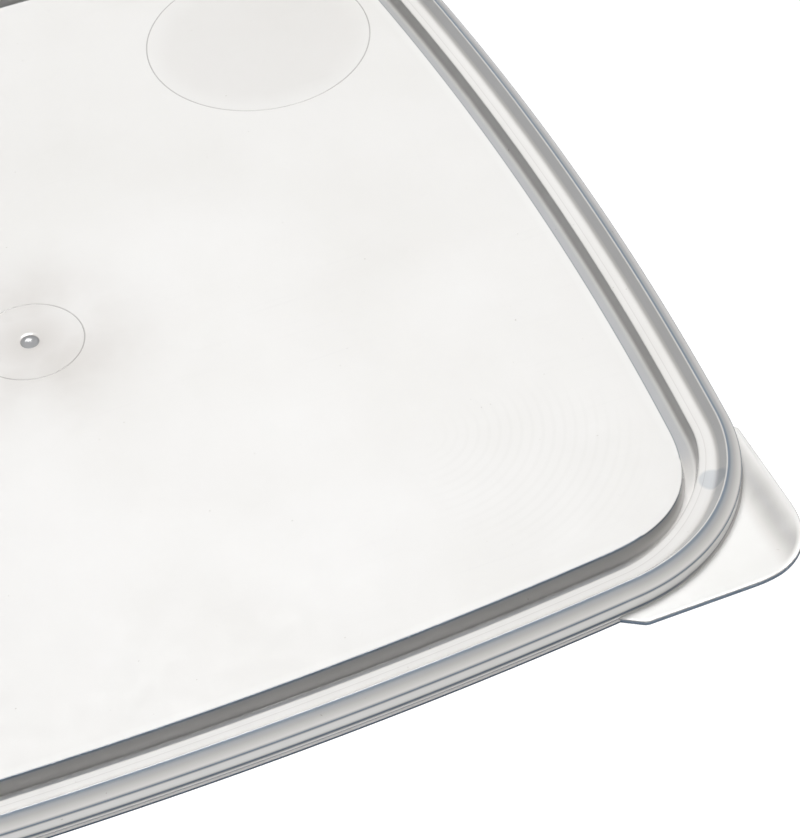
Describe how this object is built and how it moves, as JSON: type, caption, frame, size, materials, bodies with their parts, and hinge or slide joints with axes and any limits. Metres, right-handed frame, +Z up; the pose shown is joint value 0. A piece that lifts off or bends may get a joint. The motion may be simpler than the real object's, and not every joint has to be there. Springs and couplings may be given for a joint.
{
  "type": "deli food pan cover",
  "caption": "Seal cover that clips over a square deli food pan, moulded in translucent plastic, with a plug groove, a raised stacking lip and a corner peel tab that flexes up.",
  "frame": {"origin": "centre of the cover on the plane that its plug groove and skirt stand on", "axes": "+Z up through the panel, X and Y along the sides, the peel tab on the +X -Y corner"},
  "size_m": [0.1838, 0.1838, 0.0052],
  "materials": {
    "natural_polypropylene": "translucent satin"
  },
  "bodies": {
    "cover": {"centre_panel": "natural_polypropylene", "gate_pad": "natural_polypropylene", "stamp_pad": "natural_polypropylene", "seal_groove": "natural_polypropylene", "rim_flange": "natural_polypropylene", "raised_lip": "natural_polypropylene", "snap_skirt": "natural_polypropylene", "bottom_bead": "natural_polypropylene", "snap_bead": "natural_polypropylene", "tab_root": "natural_polypropylene"},
    "tab": {"corner_tab": "natural_polypropylene"}
  },
  "joints": [
    {"name": "tab_flex", "type": "hinge", "parent": "cover", "child": "tab", "pos_m": [0.08146, -0.08146, 0.0013], "axis": [-0.7071, -0.7071, 0], "range_deg": [0, 60], "stiffness_Nm_per_rad": 0.02}
  ]
}
